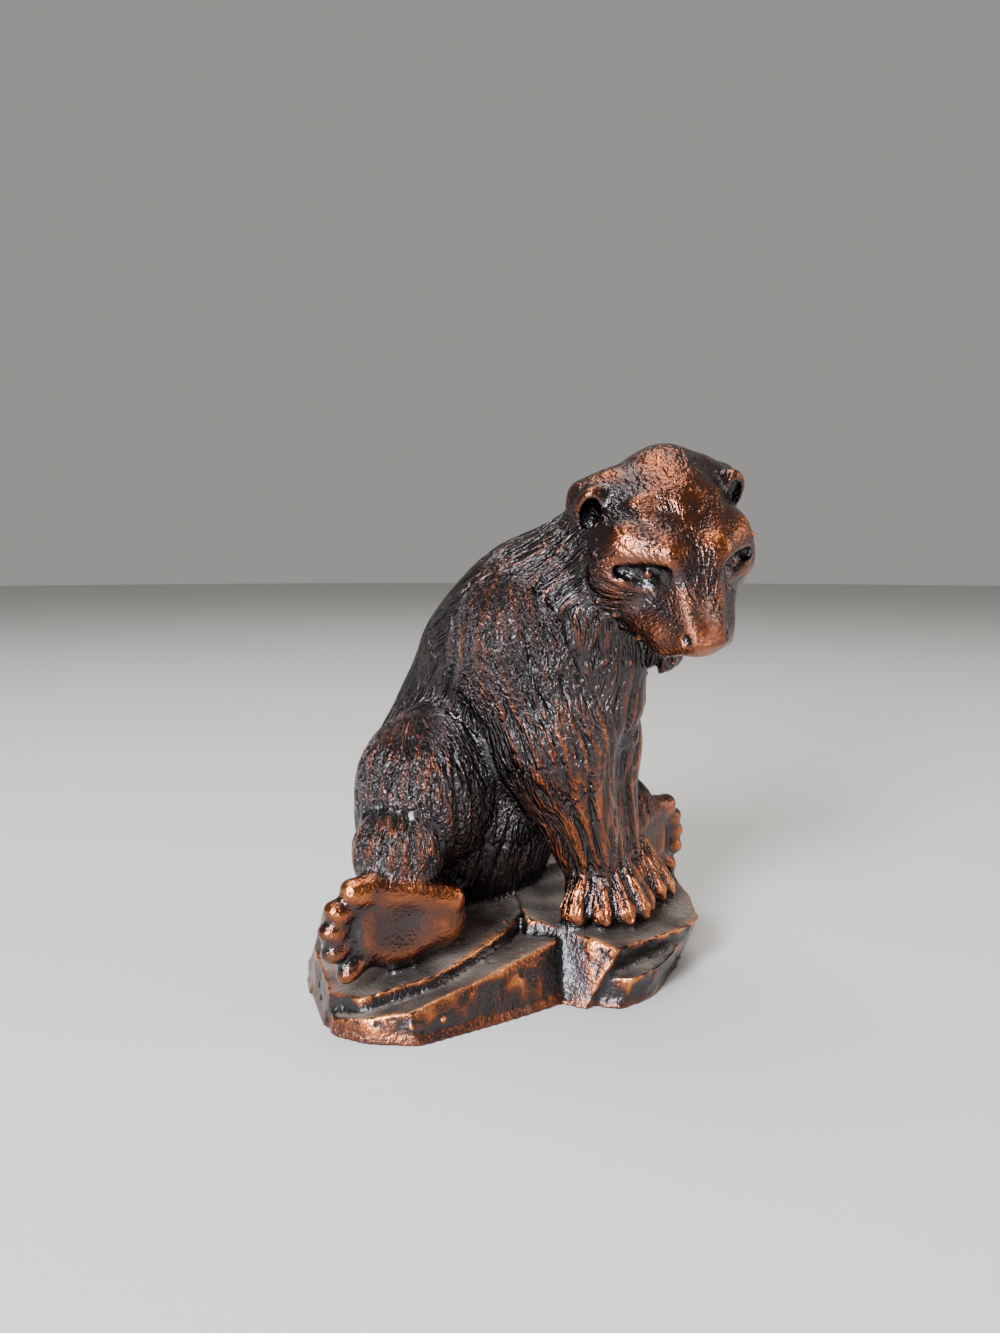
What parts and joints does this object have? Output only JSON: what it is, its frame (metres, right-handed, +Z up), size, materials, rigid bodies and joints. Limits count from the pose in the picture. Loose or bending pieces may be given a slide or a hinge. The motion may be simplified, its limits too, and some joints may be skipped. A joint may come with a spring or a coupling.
{
  "type": "polar bear figurine",
  "caption": "Small cast metal bear sitting on a rock, head turned and lowered, for standing on a shelf or desk as an ornament.",
  "frame": {"origin": "on the flat underside of the rock, below the bear's chest, in the plane of the bear's spine", "axes": "+Z up, the bear's body faces -Y, the bear's left side is +X"},
  "size_m": [0.0751, 0.0673, 0.0812],
  "materials": {
    "copper": "copper plate over cast metal, worn bright on the raised fur, paws and rock edges, with dark brown patina in the hollows"
  },
  "bodies": {
    "root": {"bear_and_rock_casting": "copper"}
  },
  "joints": []
}
